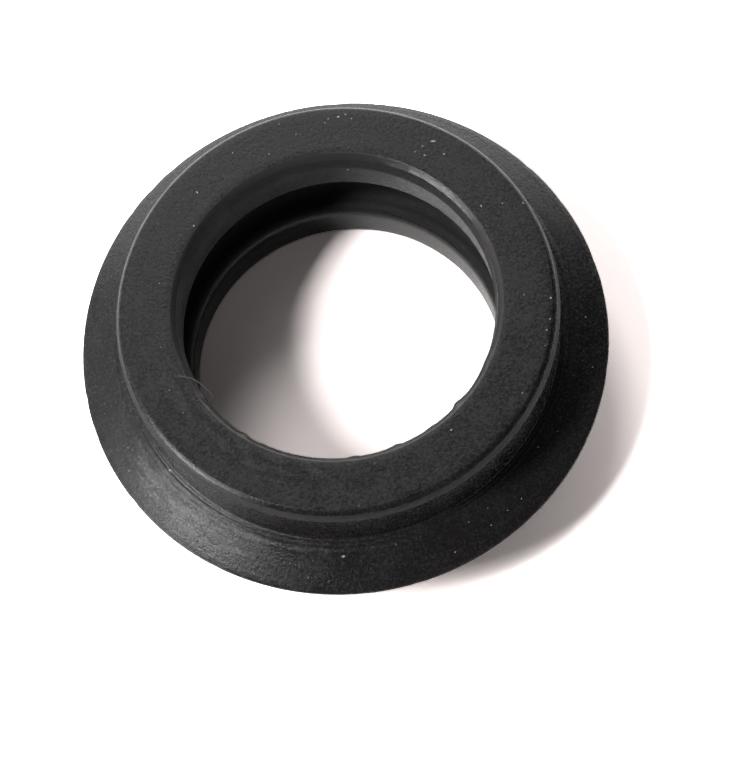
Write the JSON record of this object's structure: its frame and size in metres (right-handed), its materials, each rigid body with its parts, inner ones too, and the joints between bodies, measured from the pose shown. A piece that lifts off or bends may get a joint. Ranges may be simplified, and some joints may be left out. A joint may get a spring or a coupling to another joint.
{
  "type": "moulded rubber ring seal with a tapered flange",
  "caption": "Moulded rubber ring seal: a thick ring with a chamfered neck, a thin tapered flange at half height and a relief groove in the bore.",
  "frame": {"origin": "on the ring's axis, in the plane that the base rests on", "axes": "+Z along the ring's axis, out of the chamfered top face; X and Y are any two square directions across it"},
  "size_m": [0.04, 0.04, 0.0136],
  "materials": {
    "rubber": "matte moulded black rubber with a fine grain"
  },
  "bodies": {
    "root": {"seal_ring": "rubber"}
  },
  "joints": []
}
